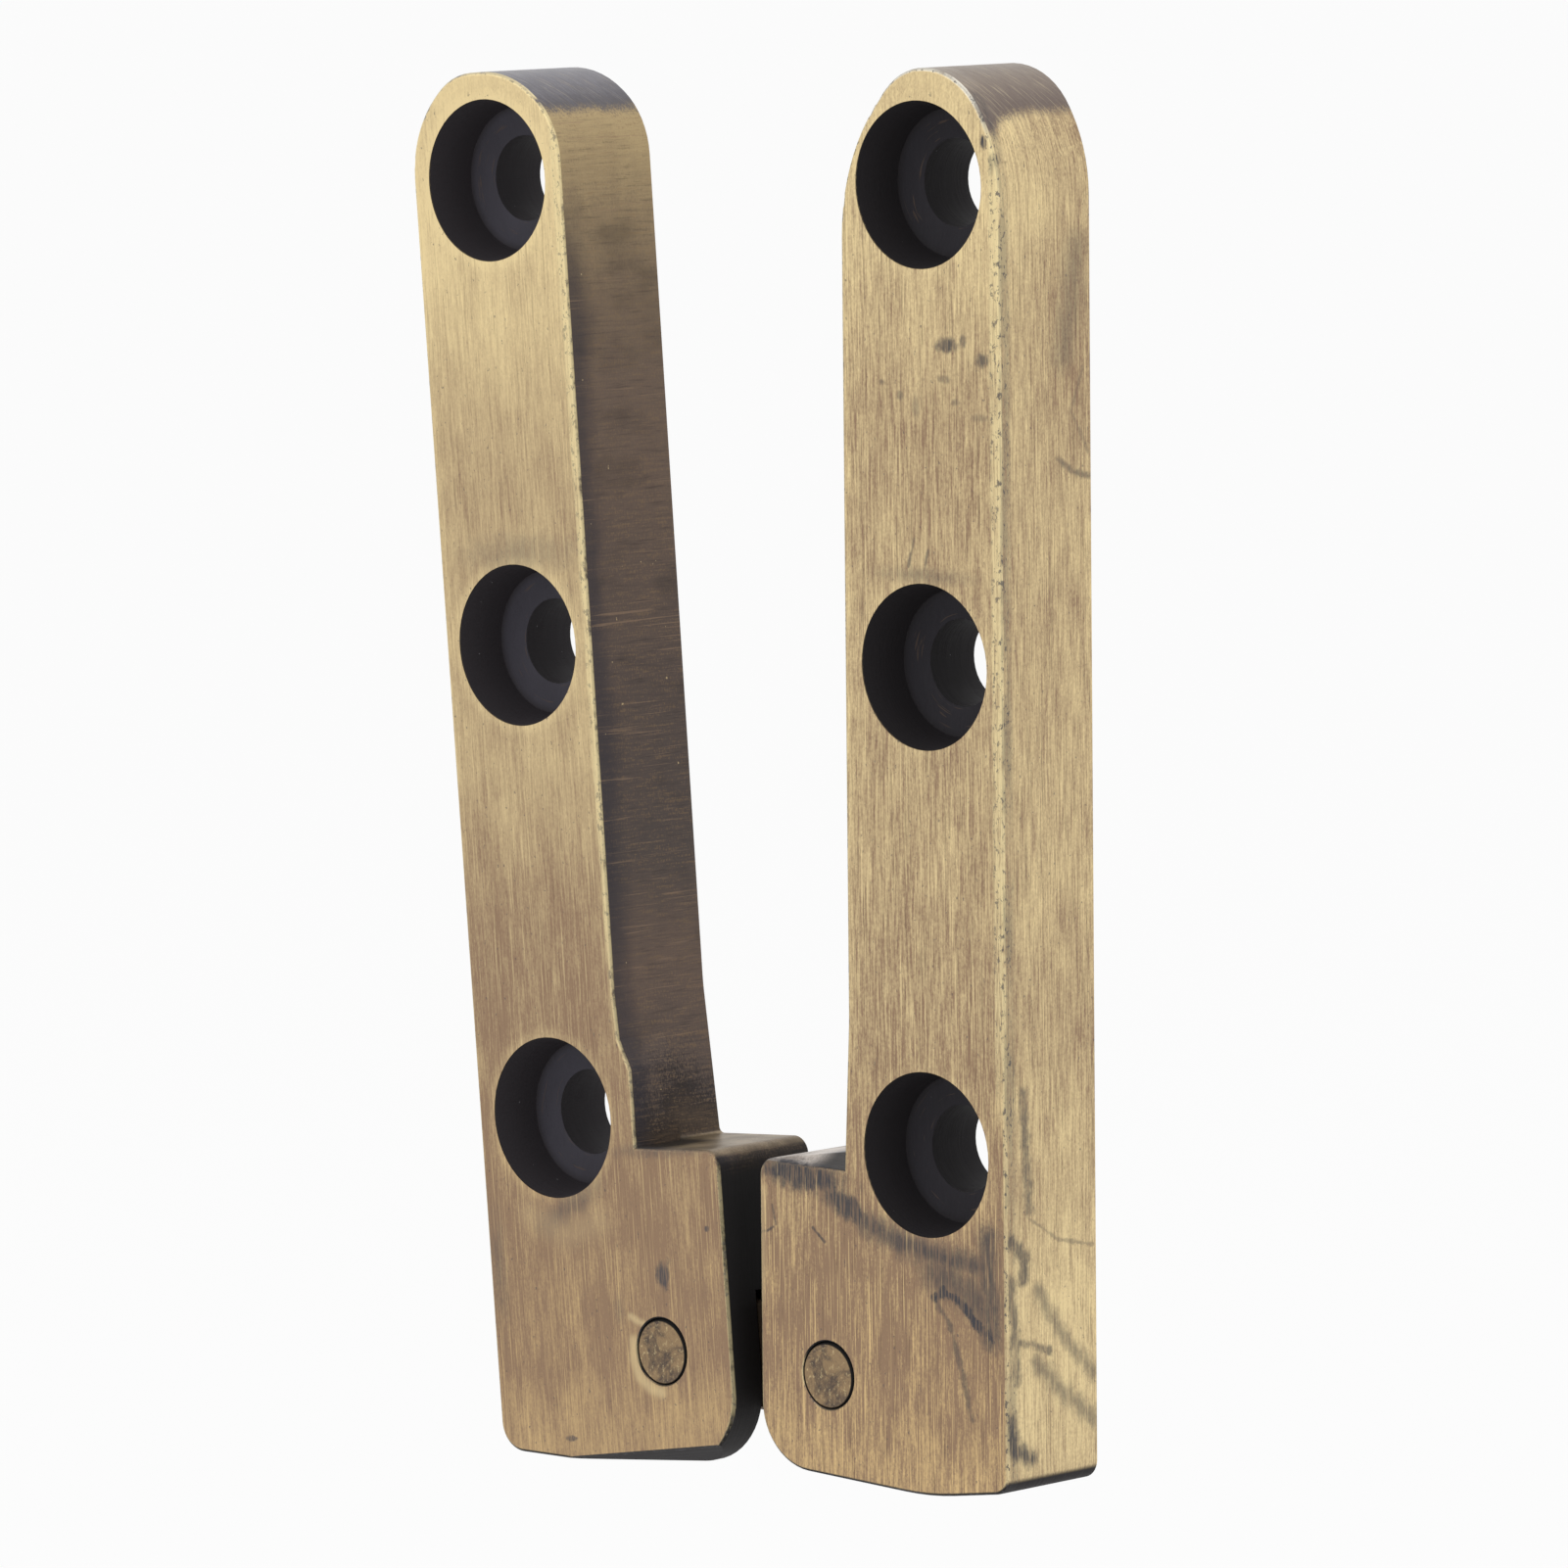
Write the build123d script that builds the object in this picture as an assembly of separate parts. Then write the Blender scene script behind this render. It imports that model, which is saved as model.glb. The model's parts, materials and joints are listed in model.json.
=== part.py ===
from build123d import *
import os
from dataclasses import dataclass
from math import cos, hypot, radians, sin

# Counter flap hinge, folded shut and standing on the heels of its two leaves.
#
# Each leaf is a thick brass bar with a dressed round top, three counterbored
# screw holes and a heel at its lower end, which makes it an L. A short link
# lies in slots cut in the two heels, on one flush pin in each, so the flap
# leaf first swings down with the link and then turns on to lie end to end
# with the counter leaf.
#
# Frame: millimetres, +Z up along the counter leaf. The backs lie on Y = 0 and
# the fronts face -Y. The origin is where the axis of the counter leaf's lowest
# screw hole meets its back. A leaf is drawn with its heel towards -X, and the
# flap leaf is a mirrored one.

# Bar and screw holes, the same on both leaves
THICKNESS = 9.8
EDGE_BREAK = 0.3
BACK_BREAK = 0.12
ARM_WALL_IN = 1.5
ARM_WALL_OUT = 1.6
HOLE_PITCH_LOW = 34.9
HOLE_PITCH_HIGH = 34.15
MIDDLE_HOLE_OFFSET = 0.2

# Section of a screw hole, from the front: drafted counterbore, dished seat,
# shank hole and a countersunk exit
BORE_RADIUS = 5.95
SEAT_RADIUS = 5.3
BORE_DEPTH = 3.75
SEAT_DISH = 0.45
SHANK_RADIUS = 3.16
EXIT_CHAMFER = 0.9

# Small corners of both outlines
HEEL_TIP_RADIUS = 1.3
HEEL_ROOT_RADIUS = 0.5
FOOT_CURVE_RADIUS = 25.0
FLARE_RADIUS = 20.0
FLARE_HEIGHT = 9.0

# Link, its slots and its pins
LINK_WIDTH = 8.0
LINK_THICKNESS = 3.4
LINK_EDGE = 0.25
SLOT_SIDE_GAP = 0.15
SLOT_END_GAP = 0.3
SWING_GAP = 0.1
PIN_RADIUS = 2.45
PIN_FIT = 0.01
PIN_RUNNING_GAP = 0.05
PIN_RECESS = 0.05
PIN_BREAK = 0.12
PIN_MOUTH = 0.12

# At rest the flap leaf leans this many degrees away from the counter leaf
FLAP_LEAN = 4.58

# Hand work on the flap leaf: a rear cheek rounded off about the pin, a land left
# unfiled beside the heel on the front half of the bar, and a slope filed under
# the foot that grows towards the heel
REAR_CHEEK_RADIUS = 5.3
LAND_HEIGHT = 4.9
LAND_RAMP = 2.7
LAND_PROUD = 0.5
FOOT_SLOPE_RISE = 1.7
FOOT_SLOPE_DEPTH = 3.1
FOOT_SLOPE_LENGTH = 19.5

# Hand work on the counter leaf: a slope filed on the heel's top, growing towards the arm
HEEL_SLOPE_DROP = 1.2
HEEL_SLOPE_DEPTH = 3.0

# How far a cutter reaches past the face that it leaves by
CUT_OVER = 1.0

top_hole = HOLE_PITCH_LOW + HOLE_PITCH_HIGH
arm_out = BORE_RADIUS + ARM_WALL_OUT
slot_width = LINK_THICKNESS + 2 * SLOT_SIDE_GAP
cheek = (THICKNESS - slot_width) / 2
pocket_radius = LINK_WIDTH / 2 + SLOT_END_GAP


@dataclass
class Leaf:
    """One leaf's own sizes, and the places that follow from them."""

    crown_wall: float           # metal above the top bore
    shoulder_wall_in: float     # metal between that bore and the inner shoulder
    shoulder_slope_in: float    # degrees from level
    shoulder_wall_out: float
    shoulder_slope_out: float
    crown_radii: tuple          # from the inner side over the top to the outer
    taper: float                # how much narrower the arm is at its foot
    flare: float                # how much it widens again at the heel
    heel_length: float          # screw hole line to the heel's inner face
    heel_top_drop: float        # lowest screw hole to the top of the heel, at the arm
    heel_top_fall: float        # further fall of that top at the heel's tip
    foot_drop: float            # lowest screw hole to the underside
    foot_rise_in: float         # rise of the underside at the heel's tip
    foot_rise_out: float        # and at the arm's outer side
    foot_radius: float          # lower outer corner, below the arm
    corner_radius: float        # lower inner corner of the heel
    pin_cover_in: float         # pin centre to the heel's inner face
    pin_cover_below: float      # pin centre to the underside

    @property
    def arm_in(self):
        return BORE_RADIUS + ARM_WALL_IN

    @property
    def apex(self):
        return top_hole + BORE_RADIUS + self.crown_wall

    @property
    def pin_x(self):
        return self.pin_cover_in - self.heel_length

    @property
    def pin_z(self):
        return self.pin_cover_below - self.foot_drop

    @property
    def swing_radius(self):
        """The farthest that the heel's lower corner stands from the pin."""
        across = self.pin_cover_in - self.corner_radius
        down = self.pin_cover_below - self.foot_rise_in - self.corner_radius
        return hypot(across, down) + self.corner_radius


COUNTER = Leaf(
    crown_wall=2.3,
    shoulder_wall_in=0.9,
    shoulder_slope_in=47.0,
    shoulder_wall_out=1.7,
    shoulder_slope_out=60.0,
    crown_radii=(15.0, 4.9, 6.0, 11.5),
    taper=0.0,
    flare=0.45,
    heel_length=16.25,
    heel_top_drop=0.7,
    heel_top_fall=1.05,
    foot_drop=24.7,
    foot_rise_in=0.75,
    foot_rise_out=1.05,
    foot_radius=1.4,
    corner_radius=4.7,
    pin_cover_in=6.6,
    pin_cover_below=7.8,
)

FLAP = Leaf(
    crown_wall=2.0,
    shoulder_wall_in=1.95,
    shoulder_slope_in=41.5,
    shoulder_wall_out=2.05,
    shoulder_slope_out=42.0,
    crown_radii=(6.2, 8.0, 5.1, 8.0),
    taper=0.42,
    flare=0.67,
    heel_length=16.45,
    heel_top_drop=2.1,
    heel_top_fall=0.15,
    foot_drop=25.35,
    foot_rise_in=-0.1,
    foot_rise_out=0.55,
    foot_radius=2.2,
    corner_radius=5.6,
    pin_cover_in=6.95,
    pin_cover_below=8.25,
)

# The link is as long as the two heels' corners need to pass each other
link_centres = COUNTER.swing_radius + FLAP.swing_radius + SWING_GAP
counter_pin = (COUNTER.pin_x, COUNTER.pin_z)
flap_pin = (COUNTER.pin_x - link_centres, COUNTER.pin_z)


def plate(corners, thickness, back=0.0):
    """A plate in the XZ plane from corners (x, z, fillet radius), its back at depth `back`."""
    outline = FilletPolyline(
        *[(x, z) for x, z, _ in corners],
        radius=[radius for _, _, radius in corners],
        close=True,
    )
    face = Plane.XZ.offset(back) * make_face(outline)
    return extrude(face, amount=thickness, dir=(0, -1, 0))


def shoulder(side, wall, slope, half_width, apex):
    """Ends of the straight shoulder flat: at the arm's side and at the level of the apex."""
    reach = BORE_RADIUS + wall
    angle = radians(slope)
    # The flat lies at `reach` from the top hole: x sin(angle) + (z - top_hole) cos(angle) = reach
    at_side = top_hole + (reach - half_width * sin(angle)) / cos(angle)
    at_apex = (reach - (apex - top_hole) * cos(angle)) / sin(angle)
    return (side * half_width, at_side), (side * at_apex, apex)


def leaf_outline(leaf):
    """Corners of a leaf's side view, from the crown's inner shoulder round by the foot."""
    r_side_in, r_top_in, r_top_out, r_side_out = leaf.crown_radii
    side_in, top_in = shoulder(-1, leaf.shoulder_wall_in, leaf.shoulder_slope_in, leaf.arm_in, leaf.apex)
    side_out, top_out = shoulder(1, leaf.shoulder_wall_out, leaf.shoulder_slope_out, arm_out, leaf.apex)
    waist = leaf.taper - leaf.arm_in
    return [
        (*side_in, r_side_in),
        (*top_in, r_top_in),
        (*top_out, r_top_out),
        (*side_out, r_side_out),
        (arm_out, leaf.foot_rise_out - leaf.foot_drop, leaf.foot_radius),
        (0, -leaf.foot_drop, FOOT_CURVE_RADIUS),
        (-leaf.heel_length, leaf.foot_rise_in - leaf.foot_drop, leaf.corner_radius),
        (-leaf.heel_length, -leaf.heel_top_drop - leaf.heel_top_fall, HEEL_TIP_RADIUS),
        (waist - leaf.flare, -leaf.heel_top_drop, HEEL_ROOT_RADIUS),
        (waist, FLARE_HEIGHT, FLARE_RADIUS),
    ]


def screw_cutter():
    """Revolved section of one screw hole, on the Y axis."""
    draft = (BORE_RADIUS - SEAT_RADIUS) / BORE_DEPTH
    shank_end = BORE_DEPTH + SEAT_DISH - THICKNESS
    section = Polyline(
        (0, CUT_OVER),
        (SHANK_RADIUS + EXIT_CHAMFER + CUT_OVER, CUT_OVER),
        (SHANK_RADIUS, -EXIT_CHAMFER),
        (SHANK_RADIUS, shank_end),
        (SEAT_RADIUS, BORE_DEPTH - THICKNESS),
        (BORE_RADIUS + draft * CUT_OVER, -THICKNESS - CUT_OVER),
        (0, -THICKNESS - CUT_OVER),
        close=True,
    )
    return revolve(make_face(section), axis=Axis.Y)


def screw_holes():
    """The three screw holes of a leaf."""
    places = [(0, 0), (MIDDLE_HOLE_OFFSET, HOLE_PITCH_LOW), (0, top_hole)]
    return [Pos(x, 0, z) * screw_cutter() for x, z in places]


def pin_hole(leaf):
    """Hole for the pin through both cheeks, eased at both mouths."""
    middle = Pos(leaf.pin_x, -THICKNESS / 2, leaf.pin_z) * Rot(90, 0, 0)
    radius = PIN_RADIUS + PIN_FIT
    mouth = Cone(radius, radius + PIN_MOUTH, PIN_MOUTH, align=(Align.CENTER, Align.CENTER, Align.MAX))
    hole = Cylinder(radius, THICKNESS + 2 * CUT_OVER)
    front = Pos(0, 0, THICKNESS / 2) * mouth
    return middle * (hole + front + Rot(180, 0, 0) * front)


def link_slot(leaf):
    """Slot for the link, open at the heel's inner face and underside, round behind the pin."""
    right = leaf.pin_x + pocket_radius
    top = leaf.pin_z + pocket_radius
    left = -leaf.heel_length - CUT_OVER
    bottom = -leaf.foot_drop - CUT_OVER
    corners = [(left, bottom, 0), (left, top, 0), (right, top, pocket_radius), (right, bottom, 0)]
    return plate(corners, slot_width, back=cheek)


def rear_cheek_waste(leaf):
    """What is cut off the rear cheek to leave it round about the pin."""
    left = -leaf.heel_length - CUT_OVER
    bottom = -leaf.foot_drop - CUT_OVER
    slot_end = leaf.pin_x + pocket_radius
    block = [(left, bottom, 0), (left, leaf.pin_z, 0), (slot_end, leaf.pin_z, 0), (slot_end, bottom, 0)]
    # The underside ramps down from the round cheek to the foot of the arm
    ramp = [
        (leaf.pin_x, leaf.pin_z - REAR_CHEEK_RADIUS, 0),
        (leaf.pin_x, leaf.pin_z, 0),
        (slot_end, leaf.pin_z, 0),
        (slot_end, -leaf.foot_drop, 0),
    ]
    at_pin = Pos(leaf.pin_x, 0, leaf.pin_z) * Rot(90, 0, 0)
    round_end = at_pin * Cylinder(REAR_CHEEK_RADIUS, 2 * THICKNESS)
    return plate(block, cheek) - plate(ramp, cheek) - round_end


def unfiled_land(leaf):
    """The land beside the heel, on the front half of the bar's inner side."""
    waist = leaf.taper - leaf.arm_in
    proud = waist - leaf.flare - LAND_PROUD
    corners = [
        (waist + EDGE_BREAK, LAND_HEIGHT + LAND_RAMP / 2, 0),
        (waist, LAND_HEIGHT + LAND_RAMP / 2, 0),
        (proud, LAND_HEIGHT - LAND_RAMP / 2, 0.8),
        (proud, -leaf.heel_top_drop - EDGE_BREAK, 0),
        (waist + EDGE_BREAK, -leaf.heel_top_drop - EDGE_BREAK, 0),
    ]
    return plate(corners, THICKNESS / 2, back=THICKNESS / 2)


def beyond(first, second, third):
    """All that lies beyond the plane through three points, on the side they turn anticlockwise about."""
    normal = (second - first).cross(third - first)
    reach = 2 * (top_hole + COUNTER.foot_drop)
    return Plane(origin=first, z_dir=normal) * Box(reach, reach, reach, align=(Align.CENTER, Align.CENTER, Align.MIN))


def foot_slope(leaf):
    """Waste filed off under the front of the foot, growing towards the heel's tip."""
    start = Vector(FOOT_SLOPE_LENGTH - leaf.heel_length, -THICKNESS, -leaf.foot_drop)
    on_front = Vector(-leaf.heel_length, -THICKNESS, FOOT_SLOPE_RISE - leaf.foot_drop)
    on_foot = Vector(-leaf.heel_length, FOOT_SLOPE_DEPTH - THICKNESS, -leaf.foot_drop)
    return beyond(start, on_front, on_foot)


def heel_slope(leaf):
    """Waste filed off the front of the heel's top, growing towards the arm."""
    side = leaf.taper - leaf.arm_in - leaf.flare
    tip = Vector(-leaf.heel_length, -THICKNESS, -leaf.heel_top_drop - leaf.heel_top_fall)
    on_front = Vector(side, -THICKNESS, -leaf.heel_top_drop - HEEL_SLOPE_DROP)
    on_top = Vector(side, HEEL_SLOPE_DEPTH - THICKNESS, -leaf.heel_top_drop)
    # The arm's side carries on down beside the slope
    lean = leaf.flare / (FLARE_HEIGHT + leaf.heel_top_drop)
    left, low, high = -leaf.heel_length - CUT_OVER, -leaf.heel_top_drop - 2 * HEEL_SLOPE_DROP, HEEL_ROOT_RADIUS
    at_low = side - lean * 2 * HEEL_SLOPE_DROP
    at_high = side + lean * (leaf.heel_top_drop + HEEL_ROOT_RADIUS)
    beside_arm = plate([(left, low, 0), (left, high, 0), (at_high, high, 0), (at_low, low, 0)], THICKNESS)
    return beyond(tip, on_front, on_top) & beside_arm


def leaf_body(leaf):
    """One leaf in its own frame, heel towards -X."""
    body = plate(leaf_outline(leaf), THICKNESS)
    if leaf is COUNTER:
        body -= heel_slope(leaf)
    else:
        body += unfiled_land(leaf)
    body = fillet(body.faces().sort_by(Axis.Y)[0].edges(), EDGE_BREAK)
    body = chamfer(body.faces().sort_by(Axis.Y)[-1].edges(), BACK_BREAK)
    body -= screw_holes()
    body -= pin_hole(leaf)
    body -= link_slot(leaf)
    if leaf is FLAP:
        body -= rear_cheek_waste(leaf)
        body -= foot_slope(leaf)
    return body


def place_flap(shape):
    """Carry a shape from the flap leaf's own frame to its place at rest."""
    to_pin = Pos(FLAP.pin_x, 0, -FLAP.pin_z)
    x, z = flap_pin
    return Pos(x, 0, z) * Rot(0, -FLAP_LEAN, 0) * to_pin * mirror(shape, about=Plane.YZ)


def link():
    """Flat link with round ends, standing in the middle of the thickness."""
    bar = SlotCenterToCenter(link_centres, LINK_WIDTH)
    bar -= [Pos(x, 0) * Circle(PIN_RADIUS + PIN_RUNNING_GAP) for x in (-link_centres / 2, link_centres / 2)]
    body = extrude(bar, LINK_THICKNESS / 2, both=True)
    faces = body.faces().sort_by(Axis.Z)
    body = chamfer([face.outer_wire().edges() for face in (faces[0], faces[-1])], LINK_EDGE)
    x, z = counter_pin
    return Pos(x - link_centres / 2, -THICKNESS / 2, z) * Rot(90, 0, 0) * body


def pin(place):
    """Pin with chamfered ends that lie just below the leaf's faces."""
    x, z = place
    body = Cylinder(PIN_RADIUS, THICKNESS - 2 * PIN_RECESS)
    body = chamfer(body.edges().filter_by(GeomType.CIRCLE), PIN_BREAK)
    return Pos(x, -THICKNESS / 2, z) * Rot(90, 0, 0) * body


def build():
    """All the pieces at rest, by node name."""
    return {
        "counter_leaf": leaf_body(COUNTER),
        "counter_pin": pin(counter_pin),
        "link": link(),
        "flap_leaf": place_flap(leaf_body(FLAP)),
        "flap_pin": pin(flap_pin),
    }


os.makedirs("parts", exist_ok=True)
for name, shape in build().items():
    shape.label = name
    export_step(shape, f"parts/{name}.step")
    print(name, "volume", round(shape.volume, 1))
print("link centres", round(link_centres, 3), "counter pin", counter_pin, "flap pin", flap_pin)
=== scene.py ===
"""Looks of the counter flap hinge: old brushed brass, a pale floor, soft light and the camera."""
import json
from dataclasses import dataclass
from math import cos, pi, radians, sin

import bpy
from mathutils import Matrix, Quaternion, Vector


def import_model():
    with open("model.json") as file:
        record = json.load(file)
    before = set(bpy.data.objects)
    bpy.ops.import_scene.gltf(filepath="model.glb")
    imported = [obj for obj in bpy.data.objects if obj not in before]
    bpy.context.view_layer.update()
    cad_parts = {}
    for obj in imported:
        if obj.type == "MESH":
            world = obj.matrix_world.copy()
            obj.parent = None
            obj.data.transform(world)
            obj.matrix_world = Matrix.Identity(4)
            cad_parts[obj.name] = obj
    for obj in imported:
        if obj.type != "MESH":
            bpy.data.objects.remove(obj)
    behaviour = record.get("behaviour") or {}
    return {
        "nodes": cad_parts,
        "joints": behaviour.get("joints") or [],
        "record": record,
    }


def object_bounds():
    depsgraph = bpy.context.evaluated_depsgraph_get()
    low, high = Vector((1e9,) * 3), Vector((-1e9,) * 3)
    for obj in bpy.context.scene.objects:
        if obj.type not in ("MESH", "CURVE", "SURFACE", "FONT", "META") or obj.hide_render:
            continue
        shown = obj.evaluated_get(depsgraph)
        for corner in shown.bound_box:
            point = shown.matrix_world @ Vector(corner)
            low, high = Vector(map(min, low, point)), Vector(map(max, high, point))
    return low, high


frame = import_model()
cad_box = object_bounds()
mounts = {mount["name"]: mount for mount in frame["record"]["mounts"]}
joints = {joint["name"]: joint for joint in frame["joints"]}

MM = 0.001

# Sizes of the leaves, in millimetres: the front's depth, the counterbores', pins' and slot ends' radii
FRONT = -9.8
BORE = 5.95
PIN = 2.46
SLOT_MIDDLE = -4.9
SLOT_HALF = 1.85
SLOT_END = 4.3

# Where a surface begins and ends to count as front, side or flat, by its normal
FACES_FRONT = (-0.75, -0.97)
FACES_OUT = (0.6, 0.8)
LIES_FLAT = (0.75, 0.97)
# Heights between which the heel's top gives way to the arm
HEEL_TOP = (4, 2)
# Height over which the front's pale edge band, worn and with a painted highlight, fades in
EDGE_FADE = 8

# The studio, in metres: the floor lies FLOOR_GAP below the flap leaf where that hangs wide open
FLOOR_GAP = 0.004
FLOOR_REACH = 6.0
FLOOR_WHITE = 0.92
WORLD_LIGHT = 0.6
LAMP_SIZE = 0.6
HINGE_MIDDLE = Vector((-0.02, -0.005, 0.025))


def colour(red, green, blue):
    """A display colour, 0 to 255, as linear light."""
    def linear(value):
        value /= 255
        return value / 12.92 if value <= 0.04045 else ((value + 0.055) / 1.055) ** 2.4
    return (linear(red), linear(green), linear(blue), 1.0)


class Wire:
    """A node's output, which takes part in sums."""

    def __init__(self, graph, socket):
        self.graph = graph
        self.socket = socket

    def __add__(self, other):
        return self.graph.math("ADD", self, other)

    def __sub__(self, other):
        return self.graph.math("SUBTRACT", self, other)

    def __rsub__(self, other):
        return self.graph.math("SUBTRACT", other, self)

    def __mul__(self, other):
        return self.graph.math("MULTIPLY", self, other)

    __radd__ = __add__
    __rmul__ = __mul__


class Graph:
    """A material's nodes. Its coordinates are in the millimetres of a leaf's own frame, heel towards -X."""

    def __init__(self, name, origin=(0, 0, 0), lean=0.0, side=1):
        self.material = bpy.data.materials.new(name)
        self.material.use_nodes = True
        self.tree = self.material.node_tree
        self.shader = self.tree.nodes["Principled BSDF"]
        place = self.node("TexCoord")
        turn = (0, radians(-lean), 0)
        self.point = self.mapped(place.outputs["Object"], origin, turn, (side * MM, MM, MM))
        self.normal = self.mapped(place.outputs["Normal"], (0, 0, 0), turn, (side, 1, 1))
        self.x, self.y, self.z = self.split(self.point)
        self.nx, self.ny, self.nz = self.split(self.normal)

    def node(self, kind, inputs=(), **settings):
        made = self.tree.nodes.new("ShaderNode" + kind)
        for key, value in settings.items():
            setattr(made, key, value)
        for key, value in dict(inputs).items():
            self.feed(made.inputs[key], value)
        return made

    def feed(self, socket, value):
        if isinstance(value, Wire):
            self.tree.links.new(value.socket, socket)
        else:
            socket.default_value = value

    def mapped(self, source, location, rotation, scale):
        source = source if isinstance(source, Wire) else Wire(self, source)
        inputs = {"Vector": source, "Location": location, "Rotation": rotation, "Scale": scale}
        return Wire(self, self.node("Mapping", inputs, vector_type="TEXTURE").outputs[0])

    def split(self, vector):
        return [Wire(self, socket) for socket in self.node("SeparateXYZ", {0: vector}).outputs]

    def math(self, operation, *values):
        return Wire(self, self.node("Math", enumerate(values), operation=operation).outputs[0])

    def in_pairs(self, operation, values):
        """`operation` over all `values`, pair by pair, which keeps few of them waiting at once."""
        while len(values) > 1:
            pairs = [self.math(operation, *pair) for pair in zip(values[::2], values[1::2])]
            values = pairs + list(values[len(pairs) * 2:])
        return values[0]

    def most(self, *values):
        return self.in_pairs("MAXIMUM", values)

    def least(self, *values):
        return self.in_pairs("MINIMUM", values)

    def smooth(self, value, low, high):
        """0 at `low`, 1 at `high`, with soft ends. `low` may be the larger."""
        inputs = {0: value, 1: low, 2: high}
        return Wire(self, self.node("MapRange", inputs, interpolation_type="SMOOTHSTEP").outputs[0])

    def noise(self, stretch, detail=2.0, roughness=0.5, warp=0.0, vector=None):
        """Noise of `stretch` cycles a millimetre along each axis, spread round 0.5."""
        scaled = self.node("VectorMath", {0: vector or self.point, 1: stretch}, operation="MULTIPLY")
        inputs = {
            "Vector": Wire(self, scaled.outputs[0]),
            "Scale": 1.0,
            "Detail": detail,
            "Roughness": roughness,
            "Distortion": warp,
        }
        return Wire(self, self.node("TexNoise", inputs).outputs[0])

    def along(self, value, stops):
        """What `stops`, pairs of (place, colour), give at `value`."""
        low, high = stops[0][0], stops[-1][0]
        ramp = self.node("ValToRGB", {0: (value - low) * (1 / (high - low))}).color_ramp
        for k, (place, tone) in enumerate(stops):
            share = (place - low) / (high - low)
            element = ramp.elements[k] if k < 2 else ramp.elements.new(share)
            element.position = share
            element.color = tone
        return Wire(self, self.tree.nodes[-1].outputs[0])

    def level(self, value, stops):
        """What `stops`, pairs of (place, level from 0 to 1), give at `value`."""
        low, high = stops[0][0], stops[-1][0]
        node = self.node("FloatCurve", {"Value": (value - low) * (1 / (high - low))})
        curve = node.mapping.curves[0]
        curve.points[0].location = (0, stops[0][1])
        curve.points[1].location = (1, stops[-1][1])
        for place, tone in stops[1:-1]:
            curve.points.new((place - low) / (high - low), tone)
        for point in curve.points:
            point.handle_type = "VECTOR"
        node.mapping.update()
        return Wire(self, node.outputs[0])

    def mix(self, share, first, second):
        node = self.node("Mix", {0: share}, data_type="RGBA")
        self.feed(node.inputs[6], first)
        self.feed(node.inputs[7], second)
        return Wire(self, node.outputs[2])

    def off_axis(self, x, z):
        """Distance from the Y axis through (x, z)."""
        dx, dz = self.x - x, self.z - z
        return self.math("SQRT", dx * dx + dz * dz)

    def spot(self, centre, radii, turn, soft, rough):
        """An oval mark about `centre`, its X radius turned by `turn` degrees from +X up towards +Z."""
        inside = self.mapped(self.point, centre, (0, radians(-turn), 0), radii)
        length = self.node("VectorMath", {0: inside}, operation="LENGTH")
        return self.smooth(Wire(self, length.outputs["Value"]) + rough, 1 + soft, 1 - soft)

    def stroke(self, across, points, half, soft, rough):
        """A band along `points`, which hold `across` ("x" or "y") and z."""
        place = self.x if across == "x" else self.y
        found = []
        for (start, low), (end, high) in zip(points, points[1:]):
            run, rise = end - start, high - low
            way = (run, 0, rise) if across == "x" else (0, run, rise)
            gone = self.node("VectorMath", {0: self.point, 1: way}, operation="DOT_PRODUCT")
            none = start * run + low * rise
            full = none + run * run + rise * rise
            share = self.node("MapRange", {0: Wire(self, gone.outputs["Value"]), 1: none, 2: full})
            share = Wire(self, share.outputs[0])
            off = self.math("MULTIPLY_ADD", share, -run, place) - start
            up = self.math("MULTIPLY_ADD", share, -rise, self.z) - low
            found.append(off * off + up * up)
        distance = self.math("SQRT", self.least(*found))
        return self.smooth(distance + rough, half * (1 + soft), half * (1 - soft))

    def finish(self, base, metallic, roughness, height, depth, gloss=0.5):
        """Feed the shader. `depth` is the bump's height in millimetres."""
        bump = self.node("Bump", {"Height": height, "Distance": depth * MM, "Strength": 1.0})
        self.feed(self.shader.inputs["Base Color"], base)
        self.feed(self.shader.inputs["Metallic"], metallic)
        self.feed(self.shader.inputs["Roughness"], roughness)
        self.feed(self.shader.inputs["Specular IOR Level"], gloss)
        self.feed(self.shader.inputs["Normal"], Wire(self, bump.outputs[0]))
        return self.material


# The tones of the brass
LIGHT_GOLD = colour(235, 213, 163)
GOLD = colour(214, 189, 141)
ORANGE_GOLD = colour(238, 206, 148)
TAN = colour(151, 125, 101)
BROWN = colour(112, 92, 76)
SLATE = colour(84, 82, 86)
# Pale tone of the edges: wear and a painted highlight
EDGE = colour(236, 218, 168)
DEEP = colour(36, 34, 34)
BLACK = colour(16, 15, 15)


@dataclass
class Looks:
    """How one leaf's surfaces differ, with heights above its lowest screw hole."""

    front: list         # how golden the front is, by height
    outer: list         # and the outer side
    inner: list         # tones of the inner side, by height
    crown: list         # tones of the crown's side, from its lower end
    crown_start: float  # height where the crown's patina begins
    crown_climb: float  # how much higher it starts behind the front's edge
    crown_edge: tuple   # tone of the edge in front of it
    edge_side: int      # the side, +1 or -1, of the front's pale edge band, worn and with a painted highlight
    edge_low: float     # and its lower end
    halo: float         # how golden the front is round its holes
    grain: float        # contrast of the brush marks
    heel_top: tuple     # two tones of the heel's top
    bore: tuple         # tone of the screw holes' walls
    seat: tuple         # and of their seats
    stain: tuple        # and of the stains
    marks: list         # stained spots: centre, radii, turn, softness, strength
    strokes: list       # stained lines: across, points, half width, softness, strength
    glints: list        # pale lines, in the same way


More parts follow.
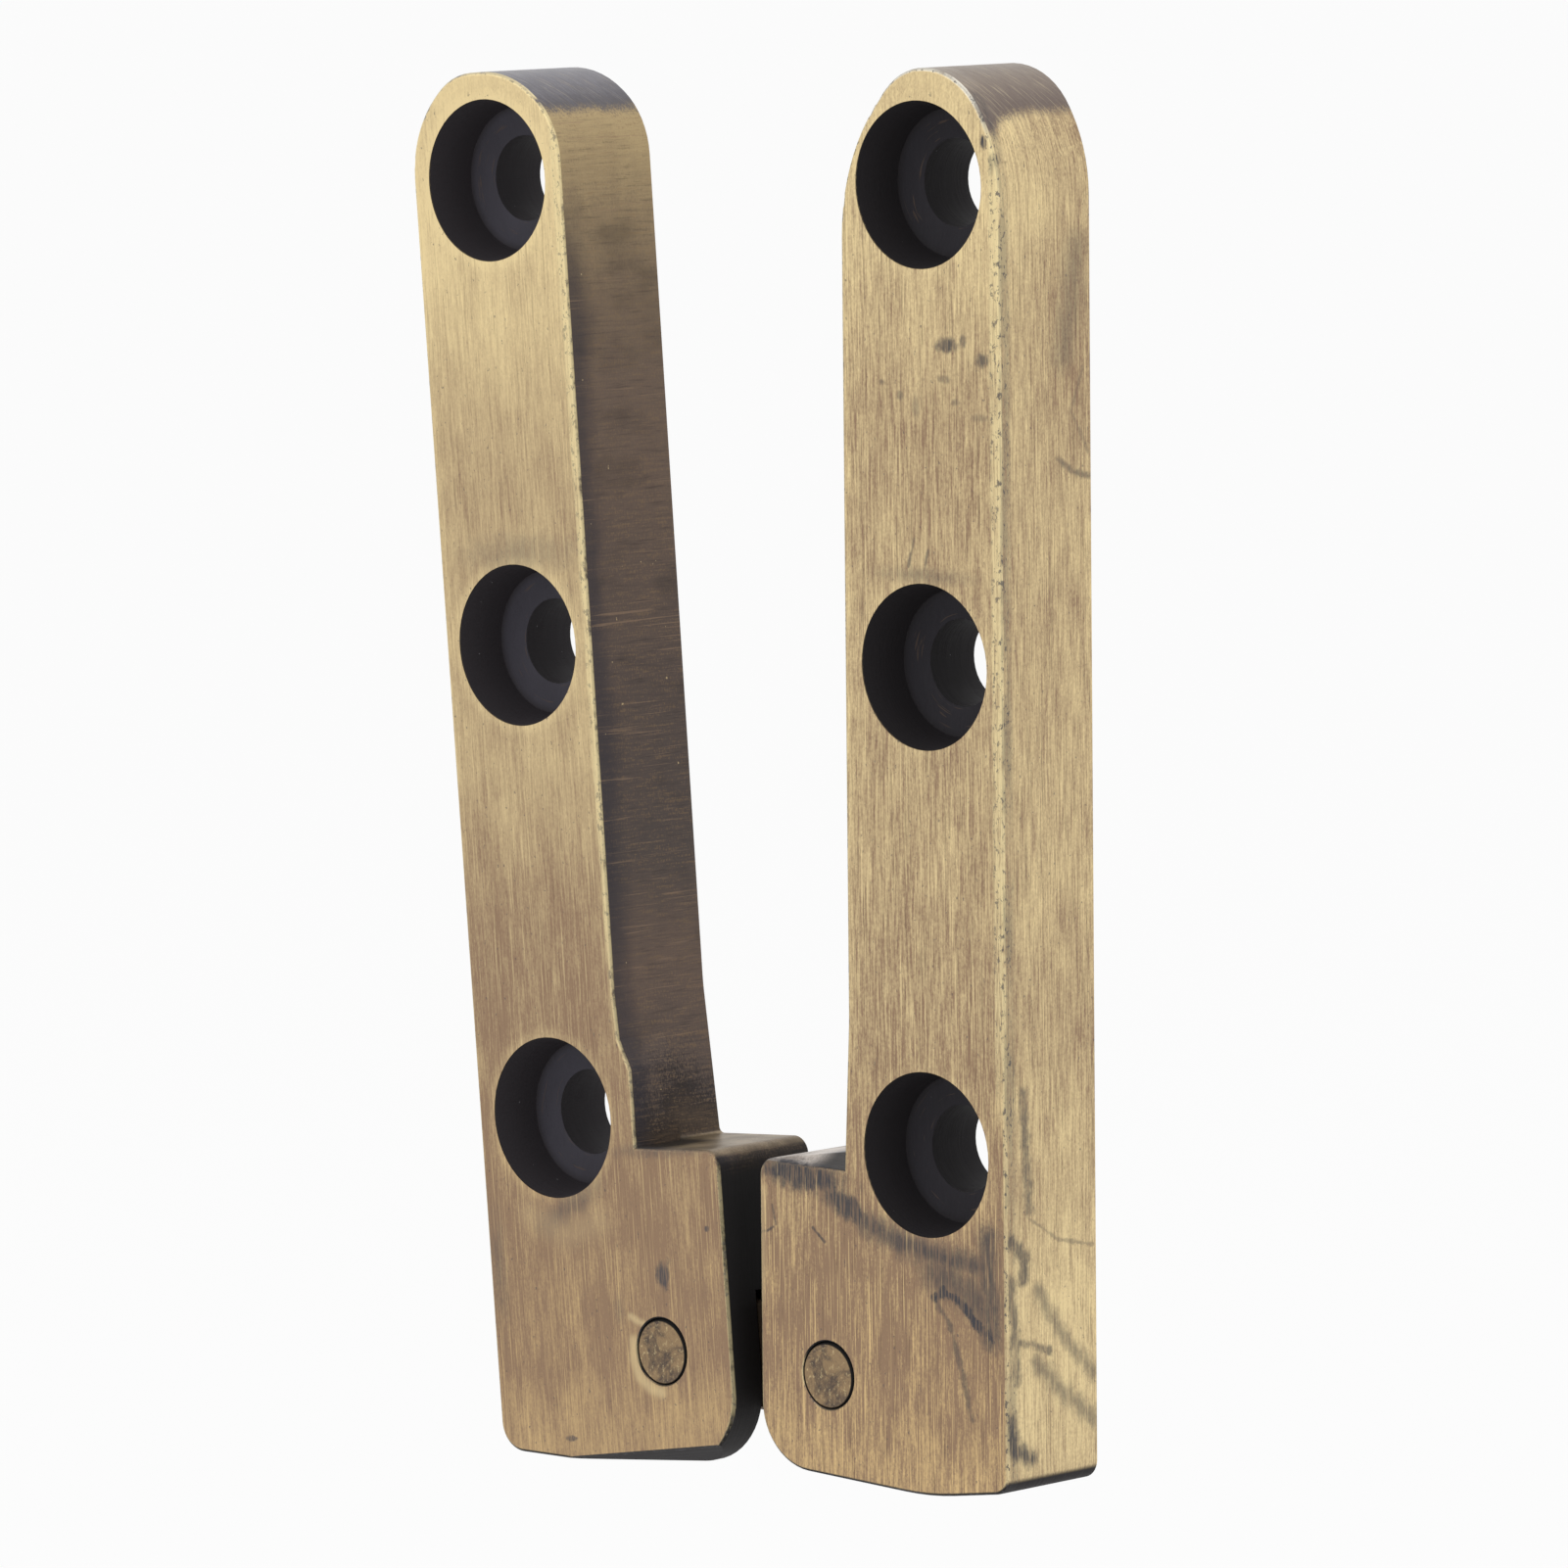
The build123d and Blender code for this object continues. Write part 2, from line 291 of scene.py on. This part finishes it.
def brushed(g, looks, near_hole, to_front):
    """Gold and tan metal, brushed along the leaf."""
    # On the sides the marks run on round the crown, so x counts only on the front and back
    flat = g.smooth(g.math("ABSOLUTE", g.ny), *LIES_FLAT)
    run = g.node("CombineXYZ", {0: g.x * flat, 1: g.y, 2: g.z})
    hair = g.noise((5.5, 5.5, 0.32), detail=3, roughness=0.7, vector=Wire(g, run.outputs[0]))
    soft = g.noise((1.3, 1.3, 0.14), detail=2)
    cloud = g.noise((0.34, 0.34, 0.15), detail=3)
    speck = g.noise((7.5, 7.5, 4.5), detail=2, roughness=0.6)
    calm = 1 - g.smooth(g.z, 72, 76) * to_front * 0.75
    lines = ((hair - 0.5) * 2.0 + (soft - 0.5) * 0.6) * calm
    on_front, on_outer = g.level(g.z, looks.front), g.level(g.z, looks.outer)
    golden = on_front + (on_outer - on_front) * g.smooth(g.nx, *FACES_OUT)
    golden = golden + lines * looks.grain + (cloud - 0.5) * 0.7 + (speck - 0.5) * 0.9 * looks.grain
    # Worn paler round the screw holes, and paler along the front's edges, wear with a painted highlight
    golden = golden + g.smooth(near_hole, 7.0, 6.0) * to_front * looks.halo
    golden = golden + g.smooth(g.math("ABSOLUTE", g.x), 6.4, 7.1) * to_front * g.smooth(g.z, 0, 40) * 0.12
    # Painted shading: from mid-height up, the sides are lighter towards the front and darker towards the
    # back
    golden = golden + g.smooth(g.z, 48, 60) * (1 - to_front) * (g.y * -0.055 - 0.29)
    light = g.mix(g.smooth(g.z, 12, -18) * to_front, LIGHT_GOLD, ORANGE_GOLD)
    base = g.mix(golden, TAN, light)
    dark_lines = g.smooth(g.noise((7.5, 7.5, 0.2), detail=2, roughness=0.6), 0.42, 0.3)
    base = g.mix(dark_lines * 0.5 * looks.grain * calm, base, BROWN)
    light_lines = g.smooth(g.noise((9.0, 9.0, 0.13), detail=1), 0.6, 0.69)
    base = g.mix(light_lines * 0.6 * looks.grain * calm, base, light)
    pits = g.smooth(g.noise((3.6, 3.6, 2.6), detail=2, roughness=0.65), 0.33, 0.26)
    return g.mix(pits * 0.6, base, SLATE), hair, cloud, speck


def inner_side(g, looks, cloud, speck):
    """Dark brown patina, scratched across the thickness."""
    cross = g.noise((0.7, 0.16, 3.2), detail=4, roughness=0.75)
    patch = g.noise((0.12, 0.12, 0.22), detail=3, roughness=0.6)
    height = g.z + (cloud - 0.5) * 7 + (cross - 0.5) * 8 + (speck - 0.5) * 8
    base = g.along(height, looks.inner)
    fine = g.noise((1.6, 0.5, 7.0), detail=3, roughness=0.7)
    rubbed = g.smooth(fine * 0.6 + cross * 0.4 + (speck - 0.5) * 0.5, 0.5, 0.66)
    base = g.mix(rubbed * 0.45, base, colour(134, 110, 82))
    base = g.mix(g.smooth(fine * 0.5 + cross * 0.5, 0.48, 0.34) * 0.3, base, DEEP)
    base = g.mix(g.smooth(patch, 0.5, 0.3) * 0.3, base, DEEP)
    # Blue-black beside the front's edge, and pale scratches across
    shade = g.smooth(g.y + (cloud - 0.5) * 2.5, -6.8, -9.0) * g.smooth(g.z, 71, 60)
    base = g.mix(shade * 0.6, base, colour(50, 49, 57))
    scratch = g.smooth(g.noise((0.5, 0.1, 6.0), detail=2, warp=0.1), 0.62, 0.68)
    base = g.mix(scratch * g.smooth(patch, 0.42, 0.6) * 0.45, base, TAN)
    dust = g.smooth(g.noise((2.0, 2.0, 2.0), detail=1), 0.79, 0.83)
    return g.mix(dust * 0.7, base, GOLD), cross


def hole_black(g, looks, near_hole, cloud):
    """The screw holes' black, a little lighter on the seats, with thin curved scratches."""
    seat = g.smooth(g.ny, -0.3, -0.7) * g.smooth(near_hole, 5.5, 4.7)
    tone = g.mix(seat * (0.35 + cloud * 0.6), looks.bore, looks.seat)
    rings = g.node("CombineXYZ", {0: near_hole * 5, 1: g.x * 0.35, 2: g.z * 0.35})
    arcs = g.noise((1, 1, 1), detail=2, vector=Wire(g, rings.outputs[0]))
    tone = g.mix(g.smooth(arcs, 0.64, 0.7) * g.smooth(near_hole, 5.2, 4.4) * 0.4, tone, BROWN)
    dust = g.smooth(g.noise((3.0, 3.0, 3.0), detail=1), 0.8, 0.84)
    return g.mix(dust * 0.8, tone, colour(150, 148, 150))


def leaf_material(name, origin, lean, side, holes, pin, looks):
    """A leaf's brass. `origin`, `lean` and `side` give its frame, where `holes` and `pin` are (x, z)."""
    g = Graph(name, origin, lean, side)
    to_front = g.smooth(g.ny, *FACES_FRONT)
    to_inner = g.smooth(g.nx, -0.5, -0.8)
    to_outer = g.smooth(g.nx, *FACES_OUT)
    upward = g.smooth(g.nz, 0.5, 0.8)
    # Faces turned downwards, where painted shade goes further on
    below = g.smooth(g.nz, -0.12, -0.45)
    on_edge = g.math("ABSOLUTE", g.ny)
    rim = g.smooth(on_edge, 0.1, 0.3) * g.smooth(on_edge, 0.99, 0.93) * g.smooth(g.y, -9.3, -9.45)
    near_hole = g.least(*[g.off_axis(*hole) for hole in holes])
    base, hair, cloud, speck = brushed(g, looks, near_hole, to_front)
    inner, cross = inner_side(g, looks, cloud, speck)
    base = g.mix(to_inner, base, inner)

    # The crown keeps a grey patina with fine slanting scratches
    slanted = g.mapped(g.point, (0, 0, 0), (radians(35), 0, 0), (1, 1, 1))
    scratched = g.noise((1.2, 6.0, 0.35), detail=3, roughness=0.6, vector=slanted)
    rise = g.z - looks.crown_start - g.smooth(g.y, -9.6, -7.2) * looks.crown_climb + (cloud - 0.5) * 1.2
    crown = g.along(rise + (scratched - 0.5) * 3.5 + (speck - 0.5) * 2.0, looks.crown)
    streaks = g.smooth(g.noise((0.6, 8.0, 0.16), detail=2, vector=slanted), 0.57, 0.68)
    crown = g.mix(streaks * looks.grain * 0.45, crown, colour(186, 172, 146))
    on_crown = g.smooth(rise + (speck - 0.5) * 1.4 + (scratched - 0.5) * 0.8, -0.55, 0.55) * (1 - to_front)
    base = g.mix(on_crown, base, crown)

    # Tops of the heels: grey, with painted shade in the corner beside the arm
    heel_top = upward * g.smooth(g.z, *HEEL_TOP)
    corner = g.smooth(g.x + (cloud - 0.5) * 2, -12, -10) * g.smooth(g.y + (cloud - 0.5) * 2, -3, -5)
    pale = g.mix(g.smooth(cloud + (speck - 0.5) * 0.5, 0.35, 0.65), *looks.heel_top)
    pale = g.mix(g.smooth(g.x + (cloud - 0.5) * 2, -14.2, -16.0) * 0.3, pale, colour(122, 104, 82))
    base = g.mix(heel_top, base, g.mix(corner * 0.95, pale, DEEP))

    # Underside and heel's inner face painted in shade, the back browner
    base = g.mix(below, base, colour(40, 37, 38))
    # Painted shade on the heel's inner face, between the leaves
    heel_face_shade = g.smooth(g.nx, -0.3, -0.6) * g.smooth(g.z + (cloud - 0.5) * 2.5, -2.0, -4.6)
    base = g.mix(heel_face_shade, base, DEEP)
    base = g.mix(g.smooth(g.ny, 0.9, 0.99) * 0.5, base, BROWN)

    # Stains, broken up by the brush marks. The thinnest lines stay the least ragged
    ragged = g.noise((1.3, 1.3, 0.9), detail=4, roughness=0.7)
    face = {"x": to_front, "y": to_outer}
    marks = [
        g.spot(centre, radii, turn, soft, (ragged - 0.5) * 1.9) * share
        for centre, radii, turn, soft, share in looks.marks
    ]
    for plane in face:
        lines = [
            g.stroke(across, points, half, soft, (ragged - 0.5) * min(1.7, 5 * half)) * share
            for across, points, half, soft, share in looks.strokes if across == plane
        ]
        if lines:
            marks.append(g.most(*lines) * face[plane])
    stained = g.most(*marks) * (0.35 + g.smooth(hair, 0.36, 0.56) * 0.65)
    base = g.mix(stained, base, looks.stain)

    # Edges worn bright with a painted highlight, a painted shade band on the outer side beside the front's
    # edge, and small dark pits
    worn_rim_and_sheen = rim * g.smooth(g.noise((0.8, 0.8, 0.5), detail=4, roughness=0.7), 0.3, 0.52)
    worn_rim_and_sheen = worn_rim_and_sheen * (1 - below) * (1 - g.smooth(g.nz, 0.1, 0.4) * g.smooth(g.z, *HEEL_TOP))
    edge_tone = g.mix(g.smooth(g.z, 72, 75), EDGE, looks.crown_edge)
    base = g.mix(worn_rim_and_sheen * (0.45 + g.smooth(g.z, 0, 20) * 0.25), base, edge_tone)
    above = g.smooth(g.z, looks.edge_low, looks.edge_low + EDGE_FADE)
    near_edge = g.smooth(g.x * looks.edge_side, 6.5, 6.8) * to_front * above
    base = g.mix(near_edge * (0.25 + g.smooth(hair, 0.4, 0.6) * 0.4), base, EDGE)
    shaded = g.smooth(g.y, -8.4, -9.2) * to_outer * g.smooth(hair + (cloud - 0.5) * 0.8, 0.35, 0.6)
    base = g.mix(shaded * looks.grain * 0.45, base, looks.stain)
    pocked = g.smooth(g.noise((2.9, 2.9, 1.9), detail=3, roughness=0.75), 0.45, 0.38)
    pocked = pocked * g.most(rim * (1 - upward), near_edge * 0.8, shaded)
    base = g.mix(pocked * (0.3 + looks.grain * 0.5), base, SLATE)
    for across, points, half, soft, share in looks.glints:
        glint = g.stroke(across, points, half, soft, (speck - 0.5) * 0.4) * face[across] * share
        base = g.mix(glint, base, LIGHT_GOLD)

    # Screw holes, pin hole and link slot stay black
    in_hole = g.smooth(near_hole, BORE + 0.01, BORE - 0.03)
    about_pin = g.off_axis(*pin)
    in_slot = g.smooth(g.math("ABSOLUTE", g.y - SLOT_MIDDLE), SLOT_HALF + 0.05, SLOT_HALF - 0.02)
    by_pin = g.smooth(about_pin, SLOT_END + 0.3, SLOT_END + 0.05)
    walls = in_slot * g.most(g.smooth(on_edge, 0.7, 0.9), by_pin)
    in_pin = g.smooth(about_pin, PIN + 0.07, PIN + 0.02)
    black = g.most(in_hole, walls, in_pin)
    base = g.mix(black, base, g.mix(in_hole, BLACK, hole_black(g, looks, near_hole, cloud)))

    # Duller and rougher in the holes, on stains and where shade is painted underneath and on the heel's
    # inner face
    clean_and_unshaded = (1 - black) * (1 - below) * (1 - heel_face_shade) * (1 - stained * 0.5)
    metallic = clean_and_unshaded * (1 - on_crown * 0.3) * (1 - to_inner * 0.4) * (1 - heel_top * 0.5) * 0.95
    roughness = 0.4 + (1 - clean_and_unshaded) * 0.25 + (hair - 0.5) * 0.35
    height = g.mix(to_inner, hair * 0.7 + speck * 0.3, cross * 0.7 + speck * 0.3)
    return g.finish(base, metallic, roughness, height, depth=0.03, gloss=0.2)


def pin_material(name, origin):
    """A pin's mottled end, in its own frame about its axis."""
    g = Graph(name, origin)
    mottle = g.noise((0.55, 0.55, 0.55), detail=5, roughness=0.75, warp=0.5)
    grain = g.noise((3.5, 3.5, 2.5), detail=4, roughness=0.7)
    base = g.mix(g.smooth(mottle, 0.38, 0.6), colour(90, 78, 70), colour(152, 128, 97))
    base = g.mix(g.smooth(grain, 0.54, 0.68) * 0.5, base, LIGHT_GOLD)
    base = g.mix(g.smooth(grain, 0.44, 0.36) * 0.5, base, BROWN)
    # The end sits deeper on its upper right, where the rim throws a shadow
    base = g.mix(g.smooth(g.off_axis(-0.12, -0.1), 2.24, 2.36), base, BLACK)
    roughness = 0.45 + (grain - 0.5) * 0.3
    return g.finish(base, 0.85, roughness, mottle * 0.75 + grain * 0.25, depth=0.1)


def link_material(name):
    """The link's dull brass, streaked along its length."""
    g = Graph(name)
    streaks = g.noise((0.3, 5.0, 5.0), detail=3, roughness=0.6)
    cloud = g.noise((0.4, 0.4, 0.4), detail=4, roughness=0.6)
    base = g.mix(streaks * 0.6 + cloud * 0.5 - 0.1, colour(70, 60, 54), colour(128, 108, 84))
    return g.finish(base, 0.8, 0.45 + (streaks - 0.5) * 0.3, streaks, depth=0.02)


def in_leaf(pos, origin, lean, side):
    """A record position as (x, z) in a leaf's own frame, in millimetres."""
    dx, dz = pos[0] - origin[0], pos[2] - origin[2]
    a = radians(lean)
    return side * (dx * cos(a) + dz * sin(a)) / MM, (dz * cos(a) - dx * sin(a)) / MM


def leaf_sizes(prefix, pivot, lean, side):
    """A leaf's origin, lean, side, holes and pin, from the record."""
    screws = [mounts[f"{prefix}_screw_{k}"]["pos_m"] for k in ("low", "middle", "top")]
    origin = (screws[0][0], 0, screws[0][2])
    holes = [in_leaf(screw, origin, lean, side) for screw in screws]
    return origin, lean, side, holes, in_leaf(joints[pivot]["pos_m"], origin, lean, side)


COUNTER_LOOKS = Looks(
    front=[
        (-26, 0.2), (-23, 0.3), (-20, 0.16), (-16, 0.06), (-11.7, 0), (-7, 0), (0, 0.16), (4, 0.24),
        (11, 0.28), (18, 0.32), (25, 0.39), (36, 0.4), (45, 0.38), (52, 0.3), (59, 0.54), (68, 0.68),
        (76, 0.74),
    ],
    outer=[
        (-26, 0.56), (-22, 0.62), (-17, 0.8), (-10, 0.8), (-3, 0.5), (4, 0.44), (11, 0.4), (18, 0.51),
        (32, 0.5), (46, 0.48), (53.5, 0.32), (60, 0.4), (67, 0.64), (72, 0.6), (77, 0.6),
    ],
    inner=[
        (-4, colour(40, 36, 36)), (6, colour(92, 80, 74)), (50, colour(108, 92, 80)),
        (72, colour(160, 140, 112)),
    ],
    crown=[
        (-1, colour(112, 98, 90)), (1, colour(122, 109, 102)), (2.6, colour(134, 121, 110)),
        (4.4, colour(150, 138, 126)),
    ],
    crown_start=72.5,
    crown_climb=1.5,
    crown_edge=colour(226, 222, 208),
    edge_side=1,
    edge_low=2,
    halo=0.08,
    grain=1.0,
    heel_top=(colour(166, 153, 142), colour(220, 210, 201)),
    bore=colour(43, 40, 42),
    seat=colour(56, 54, 60),
    stain=colour(76, 75, 79),
    marks=[
        ((2.5, FRONT, 57.8), (1.1, 1, 0.5), 0, 0.5, 0.9),
        ((4.1, FRONT, 58.2), (0.3, 1, 0.4), 0, 0.5, 0.7),
        ((6.0, FRONT, 56.9), (0.6, 1, 0.45), 15, 0.5, 0.8),
        ((-3.6, FRONT, 55.0), (0.3, 1, 0.2), 0, 0.6, 0.5),
        ((-1.9, FRONT, 54.1), (0.3, 1, 0.3), 0, 0.6, 0.45),
        ((-0.4, FRONT, 53.4), (0.3, 1, 0.7), 0, 0.6, 0.4),
        ((2.3, FRONT, 55.4), (0.6, 1, 0.25), 0, 0.6, 0.45),
        ((3.4, FRONT, 53.8), (0.4, 1, 0.2), 0, 0.6, 0.4),
        ((5.7, FRONT, 52.8), (0.6, 1, 0.25), 0, 0.6, 0.4),
        ((6.15, FRONT, 72.2), (0.3, 1, 0.5), 10, 0.4, 1),
        ((6.95, FRONT, 70.7), (0.25, 1, 0.7), 0, 0.4, 1),
        ((0.2, FRONT, 41.4), (3.6, 1, 0.5), 0, 0.9, 0.45),
        ((-12.2, FRONT, -2.5), (4.2, 1, 1.1), -5, 0.5, 1),
        ((-7.8, FRONT, -4.4), (2.4, 1, 0.9), -24, 0.45, 0.95),
    ],
    strokes=[
        ("x", [(-5.8, -5.4), (-2.0, -6.7), (2.2, -7.3), (5.4, -7.6)], 0.8, 1, 0.85),
        ("x", [(0.8, -8.4), (3.6, -9.2), (5.8, -10.8)], 1.2, 1, 0.75),
        ("x", [(0.8, -10.2), (1.7, -9.6), (3.1, -10.3), (4.7, -11.6), (6.3, -12.8)], 0.36, 0.6, 1),
        ("x", [(0.9, -10.5), (2.2, -12.0), (3.4, -15.6), (4.2, -18.6)], 0.22, 0.9, 0.6),
        ("x", [(5.8, -5.4), (6.1, -12.6)], 0.8, 1, 0.85),
        ("x", [(-16.3, -7.1), (-15.4, -6.9), (-14.9, -6.6)], 0.09, 0.9, 0.8),
        ("x", [(-15.0, -5.0), (-14.6, -6.4)], 0.08, 0.9, 0.6),
        ("x", [(-0.6, 44.0), (-1.2, 42.0)], 0.1, 0.9, 0.6),
        ("x", [(0.7, 43.2), (0.3, 41.8)], 0.1, 0.9, 0.6),
        ("x", [(-11.0, -6.3), (-9.9, -7.2)], 0.08, 0.9, 0.8),
        ("y", [(-7.8, 4.8), (-7.3, -3.6)], 0.38, 1, 0.75),
        ("y", [(-7.2, -4.2), (-4.2, -6.0), (-0.4, -6.8)], 0.12, 0.8, 0.45),
        ("y", [(-9.2, -5.6), (-7.8, -7.0), (-8.0, -8.4)], 0.55, 0.7, 0.8),
        ("y", [(-9.3, -8.4), (-9.0, -11.5), (-8.7, -15.6)], 0.45, 0.8, 0.75),
        ("y", [(-8.9, -12.9), (-7.2, -13.2), (-5.2, -13.9)], 0.26, 1, 0.7),
        ("y", [(-6.4, -9.4), (-3.9, -12.8), (-0.5, -16.0)], 0.5, 1, 0.6),
        ("y", [(-6.6, -14.6), (-3.8, -17.0), (-0.4, -19.4)], 0.6, 1, 0.6),
        ("y", [(-9.4, -18.4), (-9.0, -20.6), (-7.2, -21.4)], 0.6, 0.8, 0.9),
        ("y", [(-1.6, 64.5), (-3.0, 57.0)], 1.0, 1, 0.4),
        ("y", [(-0.9, 56.0), (-2.2, 53.0), (-0.4, 50.0)], 0.14, 1, 0.3),
        ("y", [(-3.6, 49.6), (-2.0, 48.6), (-0.3, 48.2)], 0.2, 1, 0.6),
    ],
    glints=[("x", [(-16.0, -4.0), (-16.2, -12.0)], 0.4, 0.9, 0.25)],
)
FLAP_LOOKS = Looks(
    front=[
        (-26, 0.22), (-22, 0.22), (-18, 0.07), (-11, 0.08), (-8, 0), (-2, 0.03), (5, 0.1), (12, 0.1),
        (18.5, 0.2), (26, 0.48), (36, 0.45), (45, 0.36), (52, 0.48), (59, 0.74), (70, 0.82), (77, 0.86),
    ],
    outer=[(-26, 0.4), (0, 0.45), (40, 0.45), (60, 0.6), (77, 0.75)],
    inner=[
        (-4, colour(62, 52, 45)), (-1.2, colour(84, 71, 60)), (0.4, colour(52, 45, 43)),
        (1.6, colour(72, 63, 60)), (4, colour(96, 83, 76)), (11, colour(106, 90, 80)),
        (18, colour(84, 75, 71)), (32, colour(90, 78, 72)), (46, colour(106, 90, 79)),
        (54, colour(110, 94, 82)), (60.8, colour(122, 105, 86)), (66, colour(146, 127, 99)),
        (72, colour(182, 160, 120)),
    ],
    crown=[
        (-1, colour(90, 84, 82)), (1, colour(102, 99, 104)), (3, colour(124, 122, 128)),
        (4.6, colour(142, 139, 146)),
    ],
    crown_start=73.7,
    crown_climb=0.0,
    crown_edge=EDGE,
    edge_side=-1,
    edge_low=6,
    halo=0.2,
    grain=0.55,
    heel_top=(colour(118, 102, 80), colour(160, 142, 116)),
    bore=colour(56, 52, 55),
    seat=colour(84, 82, 92),
    stain=SLATE,
    marks=[
        ((-10.1, FRONT, -11.5), (0.6, 1, 0.9), 0, 0.5, 0.9),
        ((-14.9, FRONT, -8.0), (0.22, 1, 0.2), 0, 0.4, 0.9),
        ((0.3, FRONT, -23.8), (0.5, 1, 0.2), 0, 0.4, 0.9),
        ((-0.5, FRONT, 41.6), (4.6, 1, 1.1), 0, 0.9, 0.35),
        ((-1.4, FRONT, -6.4), (3.2, 1, 0.8), -30, 0.8, 0.5),
        ((-11.4, FRONT, -2.2), (4.4, 1, 0.5), -3, 0.8, 0.5),
        ((6.6, FRONT, -11.0), (0.7, 1, 3.5), 0, 0.9, 0.4),
        ((-5.5, FRONT, -14.2), (0.4, 1, 0.8), 0, 0.9, 0.35),
    ],
    strokes=[("x", [(-10.9, -10.4), (-10.2, -11.2)], 0.2, 0.9, 0.4)],
    glints=[
        (
            "x", [(-6.75, -16.4), (-6.65, -17.8), (-7.1, -19.0), (-8.1, -19.8), (-9.2, -20.1)],
            0.42, 0.8, 0.42,
        ),
        ("x", [(-6.6, -14.6), (-7.8, -15.1)], 0.25, 1, 0.45),
        ("x", [(3.0, -7.2), (-0.5, -8.6), (-4.0, -7.6)], 1.0, 1, 0.14),
    ],
)

counter = leaf_sizes("counter", "counter_pivot", 0.0, 1)
flap = leaf_sizes("flap", "flap_pivot", -joints["flap_pivot"]["range_deg"][0], -1)
finishes = {
    "counter_leaf": leaf_material("counter_leaf_brass", *counter, COUNTER_LOOKS),
    "flap_leaf": leaf_material("flap_leaf_brass", *flap, FLAP_LOOKS),
    "counter_pin": pin_material("counter_pin_brass", joints["counter_pivot"]["pos_m"]),
    "flap_pin": pin_material("flap_pin_brass", joints["flap_pivot"]["pos_m"]),
    "link": link_material("link_brass"),
}
for node, finish in finishes.items():
    slots = frame["nodes"][node].material_slots
    if slots:
        for slot in slots:
            slot.material = finish
    else:
        frame["nodes"][node].data.materials.append(finish)


def light_path_white(tree, shader, share, output, white_type):
    """Show `share` of plain white to camera, glossy and transmission rays, over `shader`."""
    path = tree.nodes.new("ShaderNodeLightPath")
    seen = path.outputs["Is Camera Ray"]
    for other in ("Is Glossy Ray", "Is Transmission Ray"):
        either = tree.nodes.new("ShaderNodeMath")
        either.operation = "MAXIMUM"
        tree.links.new(seen, either.inputs[0])
        tree.links.new(path.outputs[other], either.inputs[1])
        seen = either.outputs[0]
    part = tree.nodes.new("ShaderNodeMath")
    part.operation = "MULTIPLY"
    part.inputs[1].default_value = share
    tree.links.new(seen, part.inputs[0])
    white = tree.nodes.new(white_type)
    white.inputs["Color"].default_value = (1, 1, 1, 1)
    white.inputs["Strength"].default_value = 1.0
    mix = tree.nodes.new("ShaderNodeMixShader")
    tree.links.new(part.outputs[0], mix.inputs[0])
    tree.links.new(shader.outputs[0], mix.inputs[1])
    tree.links.new(white.outputs[0], mix.inputs[2])
    tree.links.new(mix.outputs[0], output.inputs["Surface"])


def floor():
    """A pale floor, clear of the flap leaf where it hangs wide open below the counter leaf."""
    mesh = bpy.data.meshes.new("floor")
    link = joints["counter_pivot"]["pos_m"][0] - joints["flap_pivot"]["pos_m"][0]
    hang = cad_box[1].z - joints["flap_pivot"]["pos_m"][2]
    z = joints["counter_pivot"]["pos_m"][2] - link - hang - FLOOR_GAP
    corners = [(-1, -1), (1, -1), (1, 1), (-1, 1)]
    mesh.from_pydata([(x * FLOOR_REACH, y * FLOOR_REACH, z) for x, y in corners], [], [(0, 1, 2, 3)])
    obj = bpy.data.objects.new("floor", mesh)
    bpy.context.scene.collection.objects.link(obj)
    material = bpy.data.materials.new("floor_white")
    material.use_nodes = True
    tree = material.node_tree
    shader = tree.nodes["Principled BSDF"]
    shader.inputs["Base Color"].default_value = (0.9, 0.9, 0.9, 1)
    shader.inputs["Roughness"].default_value = 0.9
    light_path_white(tree, shader, FLOOR_WHITE, tree.nodes["Material Output"], "ShaderNodeEmission")
    mesh.materials.append(material)


def world():
    """Dim even light on the hinge, and plain white behind it."""
    made = bpy.data.worlds.new("studio")
    bpy.context.scene.world = made
    made.use_nodes = True
    tree = made.node_tree
    tree.nodes.clear()
    dim = tree.nodes.new("ShaderNodeBackground")
    dim.inputs["Color"].default_value = (1, 1, 1, 1)
    dim.inputs["Strength"].default_value = WORLD_LIGHT
    output = tree.nodes.new("ShaderNodeOutputWorld")
    light_path_white(tree, dim, 1.0, output, "ShaderNodeBackground")


def lamp(name, place, level):
    """A square soft lamp of `level` radiance that faces the hinge's middle."""
    data = bpy.data.lights.new(name, "AREA")
    data.shape = "SQUARE"
    data.size = LAMP_SIZE
    data.energy = level * pi * LAMP_SIZE * LAMP_SIZE
    obj = bpy.data.objects.new(name, data)
    obj.location = place
    obj.rotation_mode = "QUATERNION"
    obj.rotation_quaternion = (HINGE_MIDDLE - Vector(place)).to_track_quat("-Z", "Y")
    bpy.context.scene.collection.objects.link(obj)


def camera():
    """The photograph's camera, solved from the six screw holes and the leaves' edges."""
    data = bpy.data.cameras.new("camera")
    data.sensor_width = 36.0
    data.lens = 236.4
    data.clip_start = 0.05
    obj = bpy.data.objects.new("camera", data)
    eye = Vector((0.48574, -0.54927, 0.10593))
    aim = Vector((-0.01926, -0.00347, 0.02474))
    obj.location = eye
    obj.rotation_mode = "QUATERNION"
    roll = Quaternion((0, 0, 1), radians(-0.565))
    obj.rotation_quaternion = (aim - eye).to_track_quat("-Z", "Y") @ roll
    bpy.context.scene.collection.objects.link(obj)
    bpy.context.scene.camera = obj


camera()
world()
floor()
lamp("key", (-0.35, -0.8, 0.75), 1.6)
lamp("fill", (0.95, -0.25, 0.35), 1.0)
lamp("top", (0.05, 0.25, 0.95), 1.2)
bpy.context.scene.view_settings.view_transform = "Standard"
